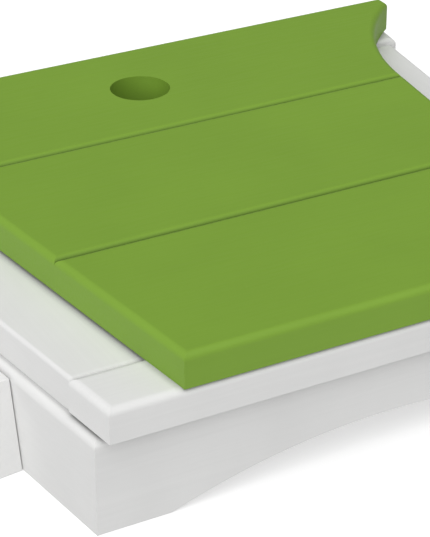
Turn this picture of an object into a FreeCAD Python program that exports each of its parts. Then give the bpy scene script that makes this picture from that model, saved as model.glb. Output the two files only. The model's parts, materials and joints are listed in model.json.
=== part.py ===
import FreeCAD, Part
import math
import os
import re

import Sketcher

# A low toddler sandbox with a lift-off cover, made of thick plastic boards.
# Millimetres. +X is to the right, +Y to the back, +Z up. The origin lies on the ground, in the
# middle of the box. The left and right sides flare outwards towards the back, so every board
# that meets a side has slanted ends.

DIMENSIONS = {
    # stock
    "board": (38.5, "thickness of the structural boards"),
    "cleat_stock": (19.5, "thickness of the cleats and battens"),
    "floor_board": (19.0, "thickness of the floor boards"),
    # plan
    "front_y": (-366.0, "front face of the cover and of the front seat board"),
    "back_y": (366.0, "back face of the rear seat board"),
    "flare_angle": (6.96, "angle between each side and the front-to-back axis, degrees"),
    "cover_half": (248.4, "half width of the cover at front_y"),
    "seat_half": (329.4, "half width of the front and rear seat boards at front_y"),
    "side_seat_half": (324.8, "outer edge of the side seat boards at front_y"),
    "side_seat_inner": (183.8, "inner edge of the side seat boards at front_y"),
    "wall_half": (336.9, "outer face of the side walls at front_y"),
    # heights
    "wall_top": (108.0, "top of the walls, on which the side seat boards lie"),
    "seat_bottom": (112.0, "underside of the front and rear seat boards"),
    "floor_bottom": (46.0, "underside of the floor boards"),
    # cover
    "plank_width": (235.0, "front-to-back width of one cover plank"),
    "cover_round": (8.0, "rounding round the top of each cover plank"),
    "hand_hole_radius": (36.8, "radius of the hand hole"),
    "hand_hole_y": (220.5, "centre of the hand hole"),
    "ear_half": (421.7, "half width of the rear plank across its ears"),
    "ear_tip_y": (319.0, "front end of each ear's flat tip"),
    "ear_arc_start_y": (111.6, "where each ear's hollow curve leaves the straight side"),
    "ear_arc_radius": (316.5, "radius of each ear's hollow curve"),
    "batten_width": (45.0, "width of the battens under the cover"),
    "batten_gap": (10.0, "clearance between the battens and the seat boards round them"),
    "bumper_radius": (12.5, "radius of the cover's rubber bumpers"),
    "bumper_middle_y": (-90.0, "middle of the bumpers, front to back"),
    "bumper_spread": (150.0, "distance of the bumpers in front of and behind their middle"),
    # seat ring
    "seat_width": (73.0, "front-to-back width of the front seat board"),
    "rear_seat_width": (82.0, "front-to-back width of the rear seat board"),
    "rear_seat_reach": (6.0, "how much further the rear seat board reaches at each end"),
    "seat_round": (8.5, "rounding round the top of the front and rear seat boards"),
    "side_seat_round": (4.6, "rounding round the top of the side seat boards, but for their inner edge"),
    # walls
    "overhang": (15.0, "how far the seat boards stand out past the front and rear walls"),
    "wall_round": (8.5, "rounding on the outer top edges of the walls"),
    "arch_radius": (783.5, "radius of the arch under the front and rear walls"),
    "arch_rise": (43.0, "height of the arch at its middle"),
    # inside
    "cleat_height": (38.5, "height of the cleats under the seat boards"),
    "floor_cleat_height": (24.0, "height of the cleats under the floor"),
    "floor_gap": (2.0, "drainage gap between the floor boards and round them"),
    # side feet
    "foot_length": (423.0, "length of a side foot along the ground"),
    "foot_lean": (17.5, "how far each end of a side foot leans in over its height"),
    "foot_height": (102.5, "height of a side foot"),
    "foot_front_y": (-211.5, "front end of a side foot on the ground"),
    "foot_gap": (1.3, "gap between a side foot and its wall"),
    "spacer_radius": (7.0, "radius of the washers in that gap"),
    "spacer_bore": (2.8, "radius of the bore of those washers"),
    # screws
    "screw_radius": (2.5, "shank radius of the screws"),
    "head_radius": (4.8, "head radius of the screws"),
    "head_height": (3.2, "height of the tapered head"),
    "head_proud": (0.5, "how far a head stands out of its board"),
    "drive_width": (3.4, "distance across corners of the hexagon drive"),
    "drive_depth": (2.0, "depth of the hexagon drive"),
    "screw_long": (58.0, "length of a long screw"),
    "screw_short": (36.0, "length of a short screw"),
    "screw_inset": (30.0, "distance of the post screws from the walls' corner"),
    "foot_screw_z": (14.0, "height of the screws into the side feet"),
}
FLOOR_BOARDS = 5
POST_TO_ARCHED_WALL_Z = (24, 90)
POST_TO_SIDE_WALL_Z = (36, 78)
NEAR_END = 25
FAR_FROM_END = 45
PARTS_FOLDER = "parts"
TOUCH = 1e-4

doc = FreeCAD.newDocument("sandbox")
sheet = doc.addObject("Spreadsheet::Sheet", "Dims")
for row, (alias, (size, note)) in enumerate(DIMENSIONS.items(), start=1):
    sheet.set(f"A{row}", str(size))
    sheet.setAlias(f"A{row}", alias)
    sheet.set(f"B{row}", note)
doc.recompute()

ALIAS_WORDS = re.compile(r"\b(" + "|".join(DIMENSIONS) + r")\b")
sub_parts = []


# ---- formulas --------------------------------------------------------------------------------

def formula(text):
    """The text with every dimension's name pointing at its cell."""
    return ALIAS_WORDS.sub(r"Dims.\1", text)


def bind(thing, prop, text):
    thing.setExpression(prop, formula(text))


def measure(text):
    """The number that a formula gives now."""
    return float(sheet.evalExpression(formula(text)))


def side_line(half_at_front, inset="0"):
    """A line parallel to the right side, as a function from a y formula to an x formula."""
    return lambda y: (
        f"({half_at_front} - ({inset}) / cos(flare_angle * 1deg)"
        f" + (({y}) - front_y) * tan(flare_angle * 1deg))"
    )


def mirrored(line):
    return lambda y: f"(0 - {line(y)})"


def straight(x):
    return lambda y: f"({x})"


# ---- building blocks -------------------------------------------------------------------------

def new_body(label):
    body = doc.addObject("PartDesign::Body", label)
    body.Label = label
    sub_parts.append(body)
    return body


def fill_wedge(wedge, x_lines, y_range, z_range):
    """Bind a wedge to two x lines, a y range and a z range."""
    left, right = x_lines
    near, far = y_range
    low, high = z_range
    bounds = {
        "Xmin": left(near), "Xmax": right(near), "X2min": left(far), "X2max": right(far),
        "Ymin": near, "Ymax": far,
        "Zmin": low, "Zmax": high, "Z2min": low, "Z2max": high,
    }
    for prop, text in bounds.items():
        bind(wedge, prop, text)


def board_body(label, x_lines, y_range, z_range):
    """A board with level faces and straight ends, which may be slanted in plan."""
    body = new_body(label)
    wedge = body.newObject("PartDesign::AdditiveWedge", label + "_blank")
    fill_wedge(wedge, x_lines, y_range, z_range)
    return body


def cut_wedge(body, name, x_lines, y_range, z_range):
    wedge = body.newObject("PartDesign::SubtractiveWedge", name)
    fill_wedge(wedge, x_lines, y_range, z_range)


def round_top(body, radius, wanted=lambda middle: True):
    """Round the edges at the top of a body whose middle point passes the test."""
    doc.recompute()
    base = body.Tip
    top = base.Shape.BoundBox.ZMax
    names = []
    for number, edge in enumerate(base.Shape.Edges, start=1):
        if edge.BoundBox.ZMin > top - TOUCH and wanted(edge.CenterOfMass):
            names.append(f"Edge{number}")
    rounding = body.newObject("PartDesign::Fillet", body.Name + "_round")
    rounding.Base = (base, names)
    bind(rounding, "Radius", radius)


def lies_on(line, point):
    """Whether a point lies on a side line or on its mirror image."""
    return abs(abs(point.x) - measure(line(str(point.y)))) < TOUCH


def origin_plane(body, role):
    for feature in body.Origin.OriginFeatures:
        if feature.Role == role:
            return feature


def new_sketch(body, name, role):
    sketch = body.newObject("Sketcher::SketchObject", name)
    sketch.AttachmentSupport = [(origin_plane(body, role), "")]
    sketch.MapMode = "FlatFace"
    return sketch


def pin_point(sketch, geometry, end, x, y, name):
    """Fix one point of a sketch at two formulas, by driving constraints."""
    here = sketch.getPoint(geometry, end)
    for axis, text, start in (("X", x, here.x), ("Y", y, here.y)):
        label = f"{name}_{axis.lower()}"
        index = sketch.addConstraint(
            Sketcher.Constraint(f"Distance{axis}", -1, 1, geometry, end, start))
        sketch.renameConstraint(index, label)
        bind(sketch, f"Constraints.{label}", text)


def draw_polygon(sketch, corners):
    """Draw a closed outline of straight lines through named corners, each an x and a y formula."""
    points = [FreeCAD.Vector(measure(x), measure(y), 0) for _, x, y in corners]
    for number, start in enumerate(points):
        sketch.addGeometry(Part.LineSegment(start, points[(number + 1) % len(points)]), False)
    for number, (name, x, y) in enumerate(corners):
        before = (number - 1) % len(corners)
        sketch.addConstraint(Sketcher.Constraint("Coincident", before, 2, number, 1))
        if x == "0" and y == "0":
            sketch.addConstraint(Sketcher.Constraint("Coincident", number, 1, -1, 1))
        else:
            pin_point(sketch, number, 1, x, y, name)


def add_pad(body, sketch, length, backwards=False):
    pad = body.newObject("PartDesign::Pad", body.Name + "_pad")
    pad.Profile = sketch
    pad.Reversed = backwards
    bind(pad, "Length", length)


def draw_circle(sketch, x, y, radius):
    centre = FreeCAD.Vector(measure(x), measure(y), 0)
    up = FreeCAD.Vector(0, 0, 1)
    circle = sketch.addGeometry(Part.Circle(centre, up, measure(radius)), False)
    pin_point(sketch, circle, 3, x, y, "centre")
    index = sketch.addConstraint(Sketcher.Constraint("Radius", circle, measure(radius)))
    sketch.renameConstraint(index, "radius")
    bind(sketch, "Constraints.radius", radius)


def cut_through(body, sketch):
    """Cut the sketch right through the body, both ways, and check that it took material."""
    doc.recompute()
    before = body.Shape.Volume
    pocket = body.newObject("PartDesign::Pocket", body.Name + "_cut")
    pocket.Profile = sketch
    pocket.Type = "ThroughAll"
    pocket.Midplane = True
    doc.recompute()
    if body.Shape.Volume > before - 1.0:
        raise RuntimeError(f"{pocket.Name} cuts nothing")


def add_group(label, solids):
    """One sub-part of several identical solids."""
    feature = doc.addObject("Part::Feature", label)
    feature.Label = label
    feature.Shape = Part.makeCompound(solids)
    feature.Placement = FreeCAD.Placement()
    sub_parts.append(feature)


# ---- lines and levels ------------------------------------------------------------------------

COVER_SIDE = side_line("cover_half")
SEAT_SIDE = side_line("seat_half")
REAR_SEAT_SIDE = side_line("seat_half + rear_seat_reach")
WALL_OUTER = side_line("wall_half")
WALL_INNER = side_line("wall_half", "board")
POST_INNER = side_line("wall_half", "2 * board")
CLEAT_INNER = side_line("wall_half", "board + cleat_stock")
FLOOR_CLEAT_INNER = side_line("wall_half", "board + floor_cleat_height")
SIDE_SEAT_OUTER = side_line("side_seat_half")
SIDE_SEAT_INNER = side_line("side_seat_inner")
BATTEN_OUTER = side_line("side_seat_inner", "batten_gap")
BATTEN_INNER = side_line("side_seat_inner", "batten_gap + batten_width")

GROUND = "0"
SEAT_TOP = "seat_bottom + board"
COVER_TOP = "seat_bottom + 2 * board"
FLOOR_TOP = "floor_bottom + floor_board"

FRONT_WALL = ("front_y + overhang", "front_y + overhang + board")
REAR_WALL = ("back_y - overhang - board", "back_y - overhang")
FRONT_SEAT = ("front_y", "front_y + seat_width")
REAR_SEAT = ("back_y - rear_seat_width", "back_y")
FRONT_POST = (FRONT_WALL[1], f"{FRONT_WALL[1]} + board")
REAR_POST = (f"{REAR_WALL[0]} - board", REAR_WALL[0])


def on_right(outer, inner):
    return (inner, outer)


def on_left(outer, inner):
    return (mirrored(outer), mirrored(inner))


SIDES = {"left": (on_left, -1), "right": (on_right, 1)}


# ---- cover -----------------------------------------------------------------------------------

def build_cover_plank(label, place):
    """One straight plank, counted from the front."""
    near = f"front_y + {place} * plank_width"
    far = f"front_y + {place + 1} * plank_width"
    body = board_body(label, (mirrored(COVER_SIDE), COVER_SIDE), (near, far), (SEAT_TOP, COVER_TOP))
    round_top(body, "cover_round")


def ear_arc(side):
    """The hollow curve from the straight side to the ear's tip, on one side."""
    start = FreeCAD.Vector(side * measure(COVER_SIDE("ear_arc_start_y")), measure("ear_arc_start_y"), 0)
    end = FreeCAD.Vector(side * measure("ear_half"), measure("ear_tip_y"), 0)
    radius = measure("ear_arc_radius")
    chord = end - start
    half = chord.Length / 2
    outwards = FreeCAD.Vector(side * chord.y, -side * chord.x, 0).normalize()
    sagitta = radius - math.sqrt(radius ** 2 - half ** 2)
    middle = (start + end) / 2 - outwards * sagitta
    return Part.Arc(start, middle, end)


def build_rear_plank():
    """The rear plank: straight joint and back, two ears, and the hand hole."""
    body = new_body("cover_plank_rear")
    sketch = new_sketch(body, "rear_plank_outline", "XY_Plane")
    bind(sketch, "AttachmentOffset.Base.z", SEAT_TOP)
    joint_y = "front_y + 2 * plank_width"
    back_y = "front_y + 3 * plank_width"
    corners = [
        ("joint", COVER_SIDE(joint_y), joint_y),
        ("curve", COVER_SIDE("ear_arc_start_y"), "ear_arc_start_y"),
        ("tip", "ear_half", "ear_tip_y"),
        ("back", "ear_half", back_y),
    ]
    right = [(name, x, y) for name, x, y in corners]
    left = [(name, f"0 - ({x})", y) for name, x, y in reversed(corners)]
    points = [FreeCAD.Vector(measure(x), measure(y), 0) for _, x, y in right + left]
    edges = []
    for number, start in enumerate(points):
        end = points[(number + 1) % len(points)]
        names = {(right + left)[number][0], (right + left)[(number + 1) % len(points)][0]}
        if names == {"curve", "tip"}:
            side = 1 if start.x > 0 else -1
            edges.append(sketch.addGeometry(ear_arc(side), False))
        else:
            edges.append(sketch.addGeometry(Part.LineSegment(start, end), False))
    for number, (name, x, y) in enumerate(right + left):
        side = "right" if number < len(right) else "left"
        geometry = edges[number]
        end = 1
        if (sketch.getPoint(geometry, 1) - points[number]).Length > TOUCH:
            end = 2
        before = edges[number - 1]
        before_end = 2
        if (sketch.getPoint(before, 2) - points[number]).Length > TOUCH:
            before_end = 1
        sketch.addConstraint(Sketcher.Constraint("Coincident", before, before_end, geometry, end))
        pin_point(sketch, geometry, end, x, y, f"{side}_{name}")
    for side in ("right", "left"):
        arcs = [e for e in edges if sketch.Geometry[e].TypeId == "Part::GeomArcOfCircle"]
        arc = arcs[0] if side == "right" else arcs[1]
        radius = measure("ear_arc_radius")
        index = sketch.addConstraint(Sketcher.Constraint("Radius", arc, radius))
        sketch.renameConstraint(index, f"{side}_arc_radius")
        bind(sketch, f"Constraints.{side}_arc_radius", "ear_arc_radius")
    add_pad(body, sketch, "board")
    round_top(body, "cover_round")
    hole = new_sketch(body, "hand_hole", "XY_Plane")
    draw_circle(hole, "0", "hand_hole_y", "hand_hole_radius")
    cut_through(body, hole)


def build_batten(side):
    """A batten across the three planks, just inside the seat ring."""
    place, _ = SIDES[side]
    y_range = (f"{FRONT_SEAT[1]} + batten_gap", f"{REAR_SEAT[0]} - batten_gap")
    z_range = (f"{SEAT_TOP} - cleat_stock", SEAT_TOP)
    board_body(f"cover_batten_{side}", place(BATTEN_OUTER, BATTEN_INNER), y_range, z_range)


def build_bumpers():
    """Rubber discs under the cover, over the lower side seat boards."""
    discs = []
    for side, (_, sign) in SIDES.items():
        for end in (-1, 1):
            y = f"(bumper_middle_y + {end} * bumper_spread)"
            x = f"{sign} * ({COVER_SIDE(y)} + {SIDE_SEAT_INNER(y)}) / 2"
            place = "front" if end < 0 else "rear"
            disc = doc.addObject("Part::Cylinder", f"bumper_{side}_{place}")
            bind(disc, "Radius", "bumper_radius")
            bind(disc, "Height", "seat_bottom - wall_top")
            bind(disc, "Placement.Base.x", x)
            bind(disc, "Placement.Base.y", y)
            bind(disc, "Placement.Base.z", "wall_top + board")
            discs.append(disc)
    group = doc.addObject("Part::Compound", "cover_bumpers")
    group.Label = "cover_bumpers"
    group.Links = discs
    sub_parts.append(group)


# ---- seat ring -------------------------------------------------------------------------------

def build_seat(label, side, y_range):
    """A front or rear seat board, rounded all round its top."""
    body = board_body(label, (mirrored(side), side), y_range, ("seat_bottom", SEAT_TOP))
    round_top(body, "seat_round")


def build_side_seat(side):
    """A side seat board, between the front and rear ones, rounded outside and at its ends."""
    place, _ = SIDES[side]
    y_range = (FRONT_SEAT[1], REAR_SEAT[0])
    z_range = ("wall_top", "wall_top + board")
    lines = place(SIDE_SEAT_OUTER, SIDE_SEAT_INNER)
    body = board_body(f"ring_{side}", lines, y_range, z_range)
    at_end = measure(y_range[1]) - 1
    round_top(body, "seat_round", lambda middle: abs(middle.y) > at_end)
    round_top(body, "side_seat_round", lambda middle: lies_on(SIDE_SEAT_OUTER, middle))


# ---- walls -----------------------------------------------------------------------------------

def build_side_wall(side):
    """A side wall, mitred at both ends and rounded along its outer top edge."""
    _, sign = SIDES[side]
    body = new_body(f"wall_{side}")
    corners = [
        ("front_outer", WALL_OUTER, FRONT_WALL[0]),
        ("rear_outer", WALL_OUTER, REAR_WALL[1]),
        ("rear_inner", WALL_INNER, REAR_WALL[0]),
        ("front_inner", WALL_INNER, FRONT_WALL[1]),
    ]
    outline = new_sketch(body, f"wall_{side}_outline", "XY_Plane")
    draw_polygon(outline, [(name, f"{sign} * {line(y)}", y) for name, line, y in corners])
    add_pad(body, outline, "wall_top")
    round_top(body, "wall_round", lambda middle: lies_on(WALL_OUTER, middle))


def build_arched_wall(label, outer_y, inner_y):
    """A front or rear wall, mitred to the side walls, with a shallow arch cut from below."""
    body = new_body(label)
    corners = [
        ("left_outer", mirrored(WALL_OUTER), outer_y),
        ("right_outer", WALL_OUTER, outer_y),
        ("right_inner", WALL_INNER, inner_y),
        ("left_inner", mirrored(WALL_INNER), inner_y),
    ]
    outline = new_sketch(body, label + "_outline", "XY_Plane")
    draw_polygon(outline, [(name, line(y), y) for name, line, y in corners])
    add_pad(body, outline, "wall_top")
    outer = measure(outer_y)
    round_top(body, "wall_round", lambda middle: abs(middle.y - outer) < TOUCH)
    arch = new_sketch(body, label + "_arch", "XZ_Plane")
    draw_circle(arch, "0", "arch_rise - arch_radius", "arch_radius")
    cut_through(body, arch)


def build_post(side, label, y_range):
    """A corner post, in the angle between two walls."""
    place, _ = SIDES[side]
    lines = place(WALL_INNER, POST_INNER)
    board_body(f"corner_post_{label}_{side}", lines, y_range, (GROUND, "wall_top"))


# ---- cleats and floor ------------------------------------------------------------------------

def build_seat_cleats():
    """Cleats in the angles between the walls and the seat boards, from post to post."""
    front = (FRONT_WALL[1], f"{FRONT_WALL[1]} + cleat_stock")
    rear = (f"{REAR_WALL[0]} - cleat_stock", REAR_WALL[0])
    z_range = ("seat_bottom - cleat_height", "seat_bottom")
    across = (mirrored(POST_INNER), POST_INNER)
    board_body("ring_cleat_front", across, front, z_range)
    board_body("ring_cleat_rear", across, rear, z_range)
    along = (FRONT_POST[1], REAR_POST[0])
    low = ("wall_top - cleat_height", "wall_top")
    for side, (place, _) in SIDES.items():
        board_body(f"ring_cleat_{side}", place(WALL_INNER, CLEAT_INNER), along, low)


def build_floor_supports():
    """A cleat along each side wall, and a bearer on the ground under the middle of the floor."""
    along = (FRONT_POST[1], REAR_POST[0])
    low = ("floor_bottom - floor_cleat_height", "floor_bottom")
    for side, (place, _) in SIDES.items():
        board_body(f"floor_cleat_{side}", place(WALL_INNER, FLOOR_CLEAT_INNER), along, low)
    across = (straight("0 - board / 2"), straight("board / 2"))
    board_body("floor_bearer", across, along, (GROUND, "floor_bottom"))


def floor_edges(number):
    """The y range of one floor board, counted from the front."""
    room = f"({REAR_WALL[0]} - ({FRONT_WALL[1]}))"
    pitch = f"(({room} - floor_gap) / {FLOOR_BOARDS})"
    near = f"({FRONT_WALL[1]} + floor_gap + {number} * {pitch})"
    return near, f"({near} + {pitch} - floor_gap)"


def build_floor_board(number):
    """One floor board; the first and last are notched round the corner posts."""
    outer = side_line("wall_half", "board + floor_gap")
    z_range = ("floor_bottom", FLOOR_TOP)
    label = f"floor_board_{number + 1}"
    body = board_body(label, (mirrored(outer), outer), floor_edges(number), z_range)
    notches = {0: FRONT_POST, FLOOR_BOARDS - 1: REAR_POST}
    if number in notches:
        near, far = notches[number]
        y_range = (f"{near} - floor_gap", f"{far} + floor_gap")
        inner = side_line("wall_half", "2 * board + floor_gap")
        for side, (place, _) in SIDES.items():
            cut_wedge(body, f"notch_{number}_{side}", place(WALL_OUTER, inner), y_range, z_range)


# ---- side feet -------------------------------------------------------------------------------

def build_foot(side):
    """A foot board along a side wall, with both ends leaning in."""
    _, sign = SIDES[side]
    body = new_body(f"side_foot_{side}")
    sketch = new_sketch(body, f"foot_{side}_outline", "YZ_Plane")
    draw_polygon(sketch, [
        ("near_low", "0", "0"),
        ("far_low", "foot_length", "0"),
        ("far_high", "foot_length - foot_lean", "foot_height"),
        ("near_high", "foot_lean", "foot_height"),
    ])
    add_pad(body, sketch, "board", sign < 0)
    stand_off = side_line("wall_half", "0 - foot_gap")
    bind(body, "Placement.Base.x", f"{sign} * {stand_off('foot_front_y')}")
    bind(body, "Placement.Base.y", "foot_front_y")
    body.Placement.Rotation = FreeCAD.Rotation(FreeCAD.Vector(0, 0, 1), 0)
    bind(body, "Placement.Rotation.Angle", f"{-sign} * flare_angle * 1deg")


def foot_screw_places():
    """The y of each screw through a side wall into its foot."""
    front = measure("foot_front_y")
    return spread(front, front + measure("foot_length"), 3, FAR_FROM_END)


def build_foot_spacers():
    """Washers that hold the feet off the side walls, one on each foot screw."""
    depth = measure("foot_gap")
    radius = measure("spacer_radius")
    bore = measure("spacer_bore")
    z = measure("foot_screw_z")
    washers = []
    for _, sign in SIDES.values():
        way = FreeCAD.Vector(*side_normal(sign))
        for y in foot_screw_places():
            inner = FreeCAD.Vector(sign * across_side(WALL_INNER, y), y, z)
            seat = inner + way * measure("board")
            washer = Part.makeCylinder(radius, depth, seat, way)
            washers.append(washer.cut(Part.makeCylinder(bore, depth, seat, way)))
    add_group("foot_spacers", washers)


# ---- screws ----------------------------------------------------------------------------------

def screw_shape(length):
    """A countersunk screw with a hexagon drive: head top at z = 0, point downwards."""
    head_radius = measure("head_radius")
    shank_radius = measure("screw_radius")
    head_height = measure("head_height")
    tip_height = 2 * shank_radius
    outline = [
        (0, 0),
        (head_radius, 0),
        (head_radius, -measure("head_proud")),
        (shank_radius, -head_height),
        (shank_radius, tip_height - length),
        (0, -length),
    ]
    profile = [FreeCAD.Vector(radius, 0, height) for radius, height in outline]
    face = Part.Face(Part.makePolygon(profile + profile[:1]))
    solid = face.revolve(FreeCAD.Vector(0, 0, 0), FreeCAD.Vector(0, 0, 1), 360)
    corner = measure("drive_width") / 2
    hexagon = []
    for turn in range(7):
        angle = math.radians(60 * turn)
        hexagon.append(FreeCAD.Vector(corner * math.cos(angle), corner * math.sin(angle), 0))
    drive = Part.Face(Part.makePolygon(hexagon)).extrude(FreeCAD.Vector(0, 0, -measure("drive_depth")))
    return solid.cut(drive)


def screw_group(label, length, seats):
    """Identical screws: each seat is the middle of a head's underside plane and its way in."""
    master = screw_shape(measure(length))
    proud = measure("head_proud")
    down = FreeCAD.Vector(0, 0, -1)
    solids = []
    for seat, way_in in seats:
        way = FreeCAD.Vector(*way_in).normalize()
        screw = master.copy()
        head = FreeCAD.Vector(*seat) - way * proud
        screw.Placement = FreeCAD.Placement(head, FreeCAD.Rotation(down, way))
        solids.append(screw)
    add_group(label, solids)


def spread(low, high, count, margin):
    """Evenly spaced places between two ends, kept a margin away from both."""
    step = (high - low - 2 * margin) / (count - 1)
    return [low + margin + step * number for number in range(count)]


def across_side(line, y):
    """The x of a side line at a y that is a number."""
    return measure(line(str(y)))


def side_normal(sign):
    """The outward direction of a side."""
    angle = math.radians(measure("flare_angle"))
    return (sign * math.cos(angle), -math.sin(angle), 0)


def build_batten_screws():
    """Two screws a plank, up through each batten."""
    head_z = measure(f"{SEAT_TOP} - cleat_stock")
    middle = side_line("side_seat_inner", "batten_gap + batten_width / 2")
    front = measure(f"{FRONT_SEAT[1]} + batten_gap")
    back = measure(f"{REAR_SEAT[0]} - batten_gap")
    joints = [front] + [measure(f"front_y + {n} * plank_width") for n in (1, 2)] + [back]
    seats = []
    for _, sign in SIDES.values():
        for low, high in zip(joints, joints[1:]):
            for y in spread(low, high, 2, NEAR_END):
                seats.append(((sign * across_side(middle, y), y, head_z), (0, 0, 1)))
    screw_group("batten_screws", "screw_short", seats)


def build_ring_screws():
    """Screws up through the cleats into the seat boards."""
    seats = []
    cleat_low = measure("seat_bottom - cleat_height")
    for y_text in (f"{FRONT_WALL[1]} + cleat_stock / 2", f"{REAR_WALL[0]} - cleat_stock / 2"):
        y = measure(y_text)
        reach = across_side(POST_INNER, y)
        for x in spread(-reach, reach, 4, NEAR_END):
            seats.append(((x, y, cleat_low), (0, 0, 1)))
    side_low = measure("wall_top - cleat_height")
    middle = side_line("wall_half", "board + cleat_stock / 2")
    for _, sign in SIDES.values():
        for y in spread(measure(FRONT_POST[1]), measure(REAR_POST[0]), 4, NEAR_END):
            seats.append(((sign * across_side(middle, y), y, side_low), (0, 0, 1)))
    screw_group("ring_screws", "screw_long", seats)


def build_wall_screws():
    """Screws out of each corner post: two into the arched wall and two into the side wall."""
    seats = []
    line = side_line("wall_half", "board + screw_inset")
    for way, post in ((-1, FRONT_POST), (1, REAR_POST)):
        inner_y = measure(post[1] if way < 0 else post[0])
        corner_y = measure(post[0] if way < 0 else post[1])
        for _, sign in SIDES.values():
            for z in POST_TO_ARCHED_WALL_Z:
                seats.append(((sign * across_side(line, inner_y), inner_y, z), (0, way, 0)))
            y = corner_y - way * measure("screw_inset")
            for z in POST_TO_SIDE_WALL_Z:
                seats.append(((sign * across_side(POST_INNER, y), y, z), side_normal(sign)))
    screw_group("wall_screws", "screw_long", seats)


def build_cleat_screws():
    """Screws through the cleats into the walls."""
    seats = []
    for way, y_text in ((-1, f"{FRONT_WALL[1]} + cleat_stock"), (1, f"{REAR_WALL[0]} - cleat_stock")):
        y = measure(y_text)
        reach = across_side(POST_INNER, y)
        for x in spread(-reach, reach, 3, FAR_FROM_END):
            seats.append(((x, y, measure("seat_bottom - cleat_height / 2")), (0, way, 0)))
    levels = (
        (CLEAT_INNER, measure("wall_top - cleat_height / 2")),
        (FLOOR_CLEAT_INNER, measure("floor_bottom - floor_cleat_height / 2")),
    )
    for line, z in levels:
        for _, sign in SIDES.values():
            for y in spread(measure(FRONT_POST[1]), measure(REAR_POST[0]), 3, FAR_FROM_END):
                seats.append(((sign * across_side(line, y), y, z), side_normal(sign)))
    screw_group("cleat_screws", "screw_short", seats)


def build_floor_screws():
    """Screws down through each floor board into the side cleats and the bearer."""
    top = measure(FLOOR_TOP)
    front = measure(FRONT_POST[1])
    back = measure(REAR_POST[0])
    middle = side_line("wall_half", "board + floor_cleat_height / 2")
    seats = []
    for number in range(FLOOR_BOARDS):
        near, far = (measure(edge) for edge in floor_edges(number))
        for y in spread(max(near, front), min(far, back), 2, NEAR_END):
            for x in (-across_side(middle, y), 0, across_side(middle, y)):
                seats.append(((x, y, top), (0, 0, -1)))
    screw_group("floor_screws", "screw_short", seats)


def build_foot_screws():
    """Screws out through each side wall into its foot."""
    z = measure("foot_screw_z")
    seats = []
    for _, sign in SIDES.values():
        for y in foot_screw_places():
            seats.append(((sign * across_side(WALL_INNER, y), y, z), side_normal(sign)))
    screw_group("foot_screws", "screw_long", seats)


# ---- assembly --------------------------------------------------------------------------------

build_cover_plank("cover_plank_front", 0)
build_cover_plank("cover_plank_middle", 1)
build_rear_plank()
build_bumpers()
build_batten_screws()

build_seat("ring_front", SEAT_SIDE, FRONT_SEAT)
build_seat("ring_rear", REAR_SEAT_SIDE, REAR_SEAT)
build_arched_wall("wall_front", FRONT_WALL[0], FRONT_WALL[1])
build_arched_wall("wall_rear", REAR_WALL[1], REAR_WALL[0])
for side_name in SIDES:
    build_batten(side_name)
    build_side_seat(side_name)
    build_side_wall(side_name)
    build_post(side_name, "front", FRONT_POST)
    build_post(side_name, "rear", REAR_POST)
    build_foot(side_name)
build_seat_cleats()
build_floor_supports()
for board_number in range(FLOOR_BOARDS):
    build_floor_board(board_number)
build_ring_screws()
build_wall_screws()
build_cleat_screws()
build_floor_screws()
build_foot_screws()
build_foot_spacers()

doc.recompute()
for item in doc.Objects:
    if "Invalid" in item.State or "Error" in item.State:
        raise RuntimeError(f"{item.Name} did not compute: {item.State}")
os.makedirs(PARTS_FOLDER, exist_ok=True)
for part in sub_parts:
    if part.Shape.isNull() or not part.Shape.isValid():
        raise RuntimeError(f"{part.Label} has no valid shape")
for part in sub_parts:
    part.Shape.exportStep(os.path.join(PARTS_FOLDER, part.Label + ".step"))
    print(f"{part.Label}: {len(part.Shape.Solids)} solid(s), {part.Shape.Volume / 1000:.1f} cm3")
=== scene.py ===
import json
import math

import bpy
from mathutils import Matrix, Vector


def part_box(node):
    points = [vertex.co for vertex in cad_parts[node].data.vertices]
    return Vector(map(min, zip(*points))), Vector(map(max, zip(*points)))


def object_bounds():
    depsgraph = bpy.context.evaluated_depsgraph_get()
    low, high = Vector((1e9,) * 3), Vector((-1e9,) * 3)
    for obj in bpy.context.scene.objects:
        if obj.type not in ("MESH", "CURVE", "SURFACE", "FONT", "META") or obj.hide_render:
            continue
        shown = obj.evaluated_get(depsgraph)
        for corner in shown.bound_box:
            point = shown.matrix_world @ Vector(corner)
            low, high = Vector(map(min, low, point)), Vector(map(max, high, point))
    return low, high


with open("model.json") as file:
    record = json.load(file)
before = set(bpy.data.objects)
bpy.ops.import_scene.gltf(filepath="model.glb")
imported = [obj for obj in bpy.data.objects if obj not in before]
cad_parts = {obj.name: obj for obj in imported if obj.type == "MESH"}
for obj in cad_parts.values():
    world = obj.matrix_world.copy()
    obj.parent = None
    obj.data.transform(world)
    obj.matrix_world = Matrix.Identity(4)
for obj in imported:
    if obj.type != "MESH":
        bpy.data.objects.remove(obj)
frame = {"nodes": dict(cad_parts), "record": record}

cad_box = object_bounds()
MM = 0.001

# Linear base colours of the boards, their fasteners and the stage.
GREEN = (0.212, 0.375, 0.040)
WHITE = (0.805, 0.805, 0.797)
STEEL = (0.620, 0.615, 0.600)
RUBBER = (0.030, 0.030, 0.032)
FLOOR = (0.900, 0.900, 0.900)

# Each kind of board: its colour, and how much of that colour is left deep in a joint, where
# shade is painted into it.
BOARDS = {"cover_green": (GREEN, 0.45), "white_board": (WHITE, 0.58)}

# How far the shade painted into a board's colour reaches out of a joint, and how open a place
# is where that painted shade is deepest.
PAINTED_SHADE_REACH = 9 * MM
PAINTED_SHADE_SAMPLES = 8
PAINTED_SHADE_DEEPEST = 0.45

# The upward part of a surface's normal where the painted shade of a joint begins, and where it
# is full.
SHADE_BEGINS = 0.2
SHADE_FULL = 0.5

# Pattern cells per metre across a board and along it: both patterns are drawn out lengthwise.
DRAWN_LINES = (260.0, 5.0)
SCUFFS = (420.0, 24.0)

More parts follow.
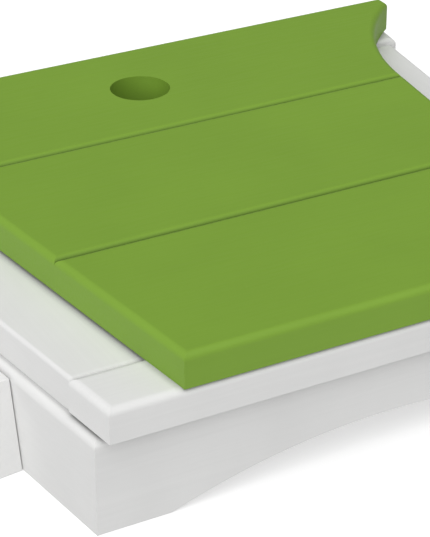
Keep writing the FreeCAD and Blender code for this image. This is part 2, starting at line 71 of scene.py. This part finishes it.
# Pattern cells per metre, the same in every direction.
MOTTLING = 9.0
GRIT = 1400.0
TURNING_MARKS = 900.0
RUBBER_GRAIN = 700.0
FLOOR_CLOUDS = 3.0

# The step between two boards' places in the patterns, so that no two boards match.
SEED_STEP = 1.7
SCUFF_PLACE = 3.1

# The broken edge of a plain board, and the angle from which an edge counts as sharp.
EDGE_BREAK = 0.7 * MM
WELD_DISTANCE = 0.01 * MM
SHARP_EDGE = math.radians(30)

FLOOR_HALF = 12.0
FLOOR_GAP = 0.3 * MM

# A very soft sun, and the surround's brightness on both sides of a blend across the horizon.
KEY_ENERGY = 2.84
KEY_ANGLE = math.radians(95)
TOWARDS_KEY = Vector((-0.430, -0.405, 0.807))
FROM_BELOW = 0.72
FROM_ABOVE = 0.19
HORIZON_BLEND = 0.10

# The camera looks down at the cover's top from the front left.
AIM_X = -0.140
AIM_Y = -0.228
AZIMUTH = math.radians(28.57)
PITCH = math.radians(28.57)
CAMERA_DISTANCE = 2.123
LENS = 138.7
SENSOR_WIDTH = 36.0
CLIP_RANGE = (0.05, 60.0)


# ---- shader building -------------------------------------------------------------------------

class Shader:
    """A node material whose coordinates are the object's own, in metres."""

    def __init__(self, name):
        self.material = bpy.data.materials.new(name)
        self.material.use_nodes = True
        self.tree = self.material.node_tree
        self.tree.nodes.clear()
        self.surface = self.node("ShaderNodeBsdfPrincipled")
        output = self.node("ShaderNodeOutputMaterial")
        self.link(self.surface.outputs["BSDF"], output.inputs["Surface"])
        self.place = self.node("ShaderNodeTexCoord").outputs["Object"]

    def node(self, kind, **settings):
        made = self.tree.nodes.new(kind)
        for name, setting in settings.items():
            setattr(made, name, setting)
        return made

    def link(self, start, end):
        self.tree.links.new(start, end)

    def drive(self, entry, source):
        """One of the surface's inputs, driven by a node's output."""
        self.link(source, self.surface.inputs[entry])

    def fix(self, entry, value):
        """One of the surface's inputs, set to one value all over."""
        self.surface.inputs[entry].default_value = value

    def stretched(self, scale, offset=(0, 0, 0)):
        """The coordinates, scaled along each axis."""
        mapping = self.node("ShaderNodeMapping")
        mapping.inputs["Scale"].default_value = scale
        mapping.inputs["Location"].default_value = offset
        self.link(self.place, mapping.inputs["Vector"])
        return mapping.outputs["Vector"]

    def noise(self, vector, detail, scale=1.0, roughness=0.5):
        made = self.node("ShaderNodeTexNoise")
        made.inputs["Scale"].default_value = scale
        made.inputs["Detail"].default_value = detail
        made.inputs["Roughness"].default_value = roughness
        self.link(vector, made.inputs["Vector"])
        return made.outputs["Fac"]

    def ramp(self, factor, low, high, start=0.3, end=0.7):
        """A factor turned into a value or colour between two ends."""
        made = self.node("ShaderNodeValToRGB")
        ends = made.color_ramp.elements
        ends[0].position = start
        ends[1].position = end
        ends[0].color = colour(low)
        ends[1].color = colour(high)
        self.link(factor, made.inputs["Fac"])
        return made.outputs["Color"]

    def mixed(self, factor, first, second, kind="MIX"):
        """Two colours mixed by a number or by a node's output."""
        made = self.node("ShaderNodeMix", data_type="RGBA", blend_type=kind)
        if isinstance(factor, float):
            made.inputs[0].default_value = factor
        else:
            self.link(factor, made.inputs[0])
        self.link(first, made.inputs[6])
        self.link(second, made.inputs[7])
        return made.outputs[2]

    def multiplied(self, first, second):
        return self.mixed(1.0, first, second, "MULTIPLY")

    def painted_joint_shade(self, shade):
        """Painted shade: white in the open, and darker on the tops of boards in the joints
        between them, wherever ambient occlusion finds them hemmed in.
        """
        made = self.node("ShaderNodeAmbientOcclusion", samples=PAINTED_SHADE_SAMPLES)
        made.inputs["Distance"].default_value = PAINTED_SHADE_REACH
        painted_shade = self.ramp(made.outputs["AO"], shade, 1.0, PAINTED_SHADE_DEEPEST, 1.0)
        normal = self.node("ShaderNodeSeparateXYZ")
        geometry = self.node("ShaderNodeNewGeometry")
        self.link(geometry.outputs["Normal"], normal.inputs["Vector"])
        level = self.ramp(normal.outputs["Z"], 0.0, 1.0, SHADE_BEGINS, SHADE_FULL)
        white = self.node("ShaderNodeRGB").outputs["Color"]
        white.default_value = colour(1.0)
        return self.mixed(level, white, painted_shade)

    def bump(self, height, distance, strength, below=None):
        """A bump of a depth in metres, on top of another bump's normal."""
        made = self.node("ShaderNodeBump")
        made.inputs["Distance"].default_value = distance
        made.inputs["Strength"].default_value = strength
        self.link(height, made.inputs["Height"])
        if below is not None:
            self.link(below, made.inputs["Normal"])
        return made.outputs["Normal"]


def colour(value):
    """A grey or a colour as four numbers."""
    if isinstance(value, (int, float)):
        value = (value,) * 3
    return (*value, 1.0)


def tinted(base, share):
    return tuple(channel * share for channel in base)


def even(scale):
    """One scale for all three axes."""
    return (scale,) * 3


def drawn_out(pattern, along):
    """A scale for each axis, with the pattern's second one along the board."""
    across, lengthwise = pattern
    scale = [across] * 3
    scale[along] = lengthwise
    return scale


def board_material(name, base, along, seed, shade):
    """Extruded plastic board: faint mottling, fine drawn lines along its length, and shade
    painted into its joints.

    along is the board's length axis, 0 for X, 1 for Y and 2 for Z.
    """
    shader = Shader(name)
    lines_place = shader.stretched(drawn_out(DRAWN_LINES, along), (seed, seed, seed))
    lines = shader.noise(lines_place, detail=4.0, roughness=0.6)
    broad = shader.noise(shader.stretched(even(MOTTLING), (seed, 0, 0)), detail=3.0)
    grit = shader.noise(shader.stretched(even(1.0)), detail=2.0, scale=GRIT)
    scuffs_place = shader.stretched(drawn_out(SCUFFS, along), (0, seed, SCUFF_PLACE))
    scuffs = shader.noise(scuffs_place, detail=1.0)

    mottled = shader.ramp(broad, tinted(base, 0.975), tinted(base, 1.02))
    worn = shader.multiplied(mottled, shader.ramp(lines, 0.975, 1.0))
    # The base colour is multiplied by shade painted into the joints between boards.
    shader.drive("Base Color", shader.multiplied(worn, shader.painted_joint_shade(shade)))

    drawn_gloss = shader.ramp(lines, 0.48, 0.60)
    scuffed_gloss = shader.ramp(scuffs, 0.62, 0.44, 0.35, 0.6)
    shader.drive("Roughness", shader.mixed(0.35, drawn_gloss, scuffed_gloss))
    shader.fix("IOR", 1.50)
    shader.fix("Specular IOR Level", 0.30)

    grooves = shader.bump(lines, 0.10 * MM, 0.5)
    shader.drive("Normal", shader.bump(grit, 0.03 * MM, 0.5, grooves))
    return shader.material


def steel_material(name):
    """Stainless screw heads with faint turning marks."""
    shader = Shader(name)
    marks = shader.noise(shader.stretched(even(TURNING_MARKS)), detail=3.0)
    shader.drive("Base Color", shader.ramp(marks, tinted(STEEL, 0.9), tinted(STEEL, 1.05)))
    shader.drive("Roughness", shader.ramp(marks, 0.26, 0.42))
    shader.fix("Metallic", 1.0)
    shader.drive("Normal", shader.bump(marks, 0.03 * MM, 0.4))
    return shader.material


def rubber_material(name):
    """Black rubber with a fine moulded grain and a little dust."""
    shader = Shader(name)
    grain = shader.noise(shader.stretched(even(RUBBER_GRAIN)), detail=4.0)
    shader.drive("Base Color", shader.ramp(grain, RUBBER, tinted(RUBBER, 1.8)))
    shader.drive("Roughness", shader.ramp(grain, 0.70, 0.88))
    shader.drive("Normal", shader.bump(grain, 0.08 * MM, 0.6))
    return shader.material


def floor_material():
    """A pale studio floor that lights up towards white."""
    shader = Shader("studio_floor")
    clouds = shader.noise(shader.stretched(even(FLOOR_CLOUDS)), detail=2.0)
    shader.drive("Base Color", shader.ramp(clouds, tinted(FLOOR, 0.995), FLOOR))
    shader.fix("Roughness", 0.9)
    shader.fix("Specular IOR Level", 0.0)
    shader.fix("Emission Color", colour(1.0))
    shader.fix("Emission Strength", 0.30)
    return shader.material


# ---- the CAD nodes' finish -------------------------------------------------------------------

def length_axis(node):
    """The axis along which a board is longest, which is the way it was extruded."""
    low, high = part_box(node)
    size = [high[axis] - low[axis] for axis in range(3)]
    return size.index(max(size))


def soften_edges(thing):
    """Break the sharp edges of a plain board by a fraction of a millimetre."""
    weld = thing.modifiers.new("weld", "WELD")
    weld.merge_threshold = WELD_DISTANCE
    bevel = thing.modifiers.new("edge", "BEVEL")
    bevel.width = EDGE_BREAK
    bevel.segments = 2
    bevel.limit_method = "ANGLE"
    bevel.angle_limit = SHARP_EDGE
    bevel.harden_normals = True


def dress(thing, material):
    thing.data.materials.clear()
    thing.data.materials.append(material)


steel = steel_material("stainless_steel")
rubber = rubber_material("black_rubber")
slots = {entry["node"]: entry["material_slot"] for entry in frame["record"]["subparts"]}
for number, node in enumerate(sorted(frame["nodes"])):
    thing = frame["nodes"][node]
    slot = slots[node]
    if slot in BOARDS:
        base, shade = BOARDS[slot]
        seed = SEED_STEP * number
        dress(thing, board_material(f"board_{node}", base, length_axis(node), seed, shade))
        # A board with a rounded edge arrives with its normals right, and is left alone.
        if not any(polygon.use_smooth for polygon in thing.data.polygons):
            soften_edges(thing)
    elif slot == "screw_steel":
        dress(thing, steel)
    else:
        dress(thing, rubber)


# ---- stage, light and camera -----------------------------------------------------------------

def build_floor():
    """A wide floor just under the object, which neither lights it nor shows in its gloss."""
    half = FLOOR_HALF
    corners = [(-half, -half, 0), (half, -half, 0), (half, half, 0), (-half, half, 0)]
    mesh = bpy.data.meshes.new("studio_floor")
    mesh.from_pydata(corners, [], [(0, 1, 2, 3)])
    floor = bpy.data.objects.new("studio_floor", mesh)
    floor.location.z = cad_box[0].z - FLOOR_GAP
    floor.visible_diffuse = False
    floor.visible_glossy = False
    mesh.materials.append(floor_material())
    bpy.context.scene.collection.objects.link(floor)


def build_light():
    """A very soft key from the front left, high up, and a surround that is brighter below.

    The light from below stands for what a pale floor throws back.
    """
    key = bpy.data.lights.new("key", "SUN")
    key.energy = KEY_ENERGY
    key.angle = KEY_ANGLE
    lamp = bpy.data.objects.new("key", key)
    lamp.rotation_mode = "QUATERNION"
    lamp.rotation_quaternion = TOWARDS_KEY.to_track_quat("Z", "Y")
    bpy.context.scene.collection.objects.link(lamp)

    world = bpy.data.worlds.new("surround")
    world.use_nodes = True
    tree = world.node_tree
    heights = tree.nodes.new("ShaderNodeSeparateXYZ")
    place = tree.nodes.new("ShaderNodeTexCoord")
    tree.links.new(place.outputs["Generated"], heights.inputs["Vector"])
    levels = tree.nodes.new("ShaderNodeMapRange")
    levels.inputs["From Min"].default_value = -HORIZON_BLEND
    levels.inputs["From Max"].default_value = HORIZON_BLEND
    levels.inputs["To Min"].default_value = FROM_BELOW
    levels.inputs["To Max"].default_value = FROM_ABOVE
    tree.links.new(heights.outputs["Z"], levels.inputs["Value"])
    background = tree.nodes["Background"]
    background.inputs["Color"].default_value = colour(1.0)
    tree.links.new(levels.outputs["Result"], background.inputs["Strength"])
    bpy.context.scene.world = world


def build_camera():
    data = bpy.data.cameras.new("camera")
    data.lens = LENS
    data.sensor_width = SENSOR_WIDTH
    data.clip_start, data.clip_end = CLIP_RANGE
    camera = bpy.data.objects.new("camera", data)
    aim = Vector((AIM_X, AIM_Y, cad_box[1].z))
    ahead = Vector((
        math.sin(AZIMUTH) * math.cos(PITCH),
        math.cos(AZIMUTH) * math.cos(PITCH),
        -math.sin(PITCH),
    ))
    camera.location = aim - ahead * CAMERA_DISTANCE
    camera.rotation_mode = "QUATERNION"
    camera.rotation_quaternion = ahead.to_track_quat("-Z", "Y")
    bpy.context.scene.collection.objects.link(camera)
    bpy.context.scene.camera = camera


build_floor()
build_light()
build_camera()
bpy.context.scene.view_settings.view_transform = "Standard"
